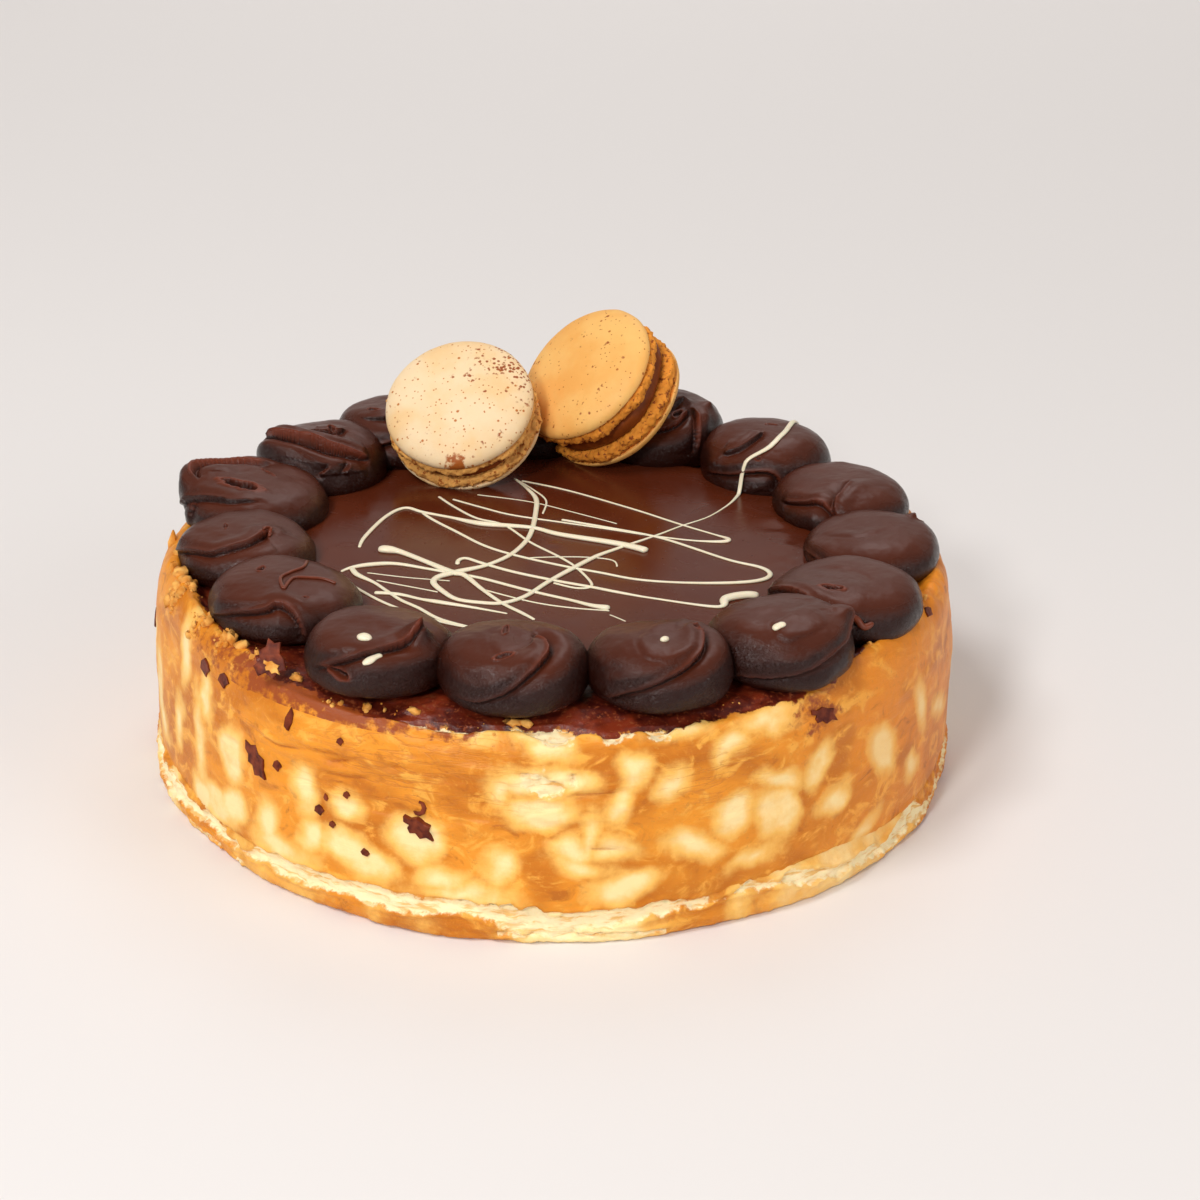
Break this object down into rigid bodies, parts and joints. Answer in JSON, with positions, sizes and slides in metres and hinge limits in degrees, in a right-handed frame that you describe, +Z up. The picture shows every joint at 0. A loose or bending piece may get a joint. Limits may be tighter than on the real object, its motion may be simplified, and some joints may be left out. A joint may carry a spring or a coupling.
{
  "type": "irish cream cheesecake",
  "caption": "Round baked cheesecake on a biscuit base, with a chocolate ganache pool, a ring of piped ganache swirls, white drizzle and macarons on top.",
  "frame": {"origin": "middle of the underside that the cake stands on", "axes": "+Z up along the cake's axis; -Y towards the front that is seen first, with the macarons at the back; +X to the right"},
  "size_m": [0.2306, 0.2287, 0.1041],
  "materials": {
    "biscuit": "crumbly baked biscuit layer, golden brown, matte",
    "baked_cheesecake": "baked cream cheese, golden skin mottled with pale cream ovals, satin",
    "poured_ganache": "set chocolate ganache poured as a smooth glossy pool",
    "piped_ganache": "whipped chocolate ganache piped in fat swirls, satin with fine ripples",
    "cream_macaron_shell": "baked almond meringue shell, pale cream with brown speckles, matte",
    "orange_macaron_shell": "baked almond meringue shell, warm golden tan with fine specks, matte",
    "macaron_filling": "soft chocolate filling, brown, satin",
    "white_chocolate": "thin drizzled white chocolate lines and dots, satin",
    "dark_chocolate": "thin broken flakes of dark chocolate on the side and rim"
  },
  "bodies": {
    "root": {"biscuit_base": "biscuit", "cheesecake": "baked_cheesecake", "ganache_glaze": "poured_ganache", "ganache_swirl_01": "piped_ganache", "ganache_swirl_02": "piped_ganache", "ganache_swirl_03": "piped_ganache", "ganache_swirl_04": "piped_ganache", "ganache_swirl_05": "piped_ganache", "ganache_swirl_06": "piped_ganache", "ganache_swirl_07": "piped_ganache", "ganache_swirl_08": "piped_ganache", "ganache_swirl_09": "piped_ganache", "ganache_swirl_10": "piped_ganache", "ganache_swirl_11": "piped_ganache", "ganache_swirl_12": "piped_ganache", "ganache_swirl_13": "piped_ganache", "ganache_swirl_14": "piped_ganache", "ganache_swirl_15": "piped_ganache", "macaron_cream_top": "cream_macaron_shell", "macaron_cream_bottom": "cream_macaron_shell", "macaron_cream_filling": "macaron_filling", "macaron_orange_top": "orange_macaron_shell", "macaron_orange_bottom": "orange_macaron_shell", "macaron_orange_filling": "macaron_filling"}
  },
  "joints": []
}
